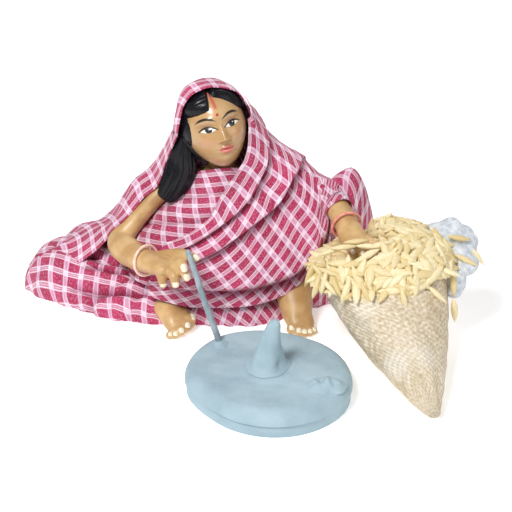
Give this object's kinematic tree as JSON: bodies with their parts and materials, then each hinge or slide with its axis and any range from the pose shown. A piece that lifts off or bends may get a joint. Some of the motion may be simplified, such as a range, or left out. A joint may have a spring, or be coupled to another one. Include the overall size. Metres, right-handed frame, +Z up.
{
  "type": "grain grinding figurine",
  "caption": "Hand-made clay doll in a checked cotton sari, seated on the floor and turning a small hand mill beside an open jute pouch of paddy.",
  "frame": {"origin": "on the floor under the figure's trunk, at the flat underside of the figure", "axes": "+X to the figure's left, -Y the way the figure faces, +Z up"},
  "size_m": [0.1614, 0.1292, 0.0859],
  "materials": {
    "core_clay": "dried clay, matte",
    "skin_clay": "painted clay, glossy varnish",
    "hair_clay": "painted clay, glossy varnish",
    "stick": "bamboo stick",
    "wire": "soft iron wire",
    "bangle": "thin painted ring",
    "sari_cloth": "checked cotton, crimson and white",
    "mill_clay": "painted clay, matte blue-grey",
    "rod_wood": "splint painted blue-grey",
    "jute": "coarse jute weave",
    "wad": "loose grey-white wadding",
    "paddy": "dry husk"
  },
  "bodies": {
    "figure": {"lower_body": "core_clay", "torso": "core_clay", "spine_stick": "stick", "head": "skin_clay", "hair": "hair_clay", "right_arm": "skin_clay", "left_arm": "skin_clay", "right_arm_wire": "wire", "left_arm_wire": "wire", "right_foot": "skin_clay", "left_foot": "skin_clay", "right_bangle": "bangle", "left_bangle": "bangle", "skirt": "sari_cloth", "drape": "sari_cloth", "veil": "sari_cloth"},
    "mill_base": {"bed_stone": "mill_clay", "pivot_cone": "mill_clay"},
    "mill_runner": {"runner_stone": "mill_clay", "handle_rod": "rod_wood", "clay_dab": "mill_clay"},
    "pouch": {"sack": "jute", "sack_filling": "wad", "grains": "paddy"}
  },
  "joints": [
    {"name": "mill_draw", "type": "slide", "parent": "figure", "child": "mill_base", "axis": [0, -1, 0], "range_m": [0, 0.045]},
    {"name": "runner_turn", "type": "hinge", "parent": "mill_base", "child": "mill_runner", "pos_m": [0.0133, -0.0672, 0.0066], "axis": [0, 0, 1], "range_deg": [0, 200]},
    {"name": "pouch_draw", "type": "slide", "parent": "figure", "child": "pouch", "axis": [1, 0, 0], "range_m": [0, 0.05]}
  ]
}
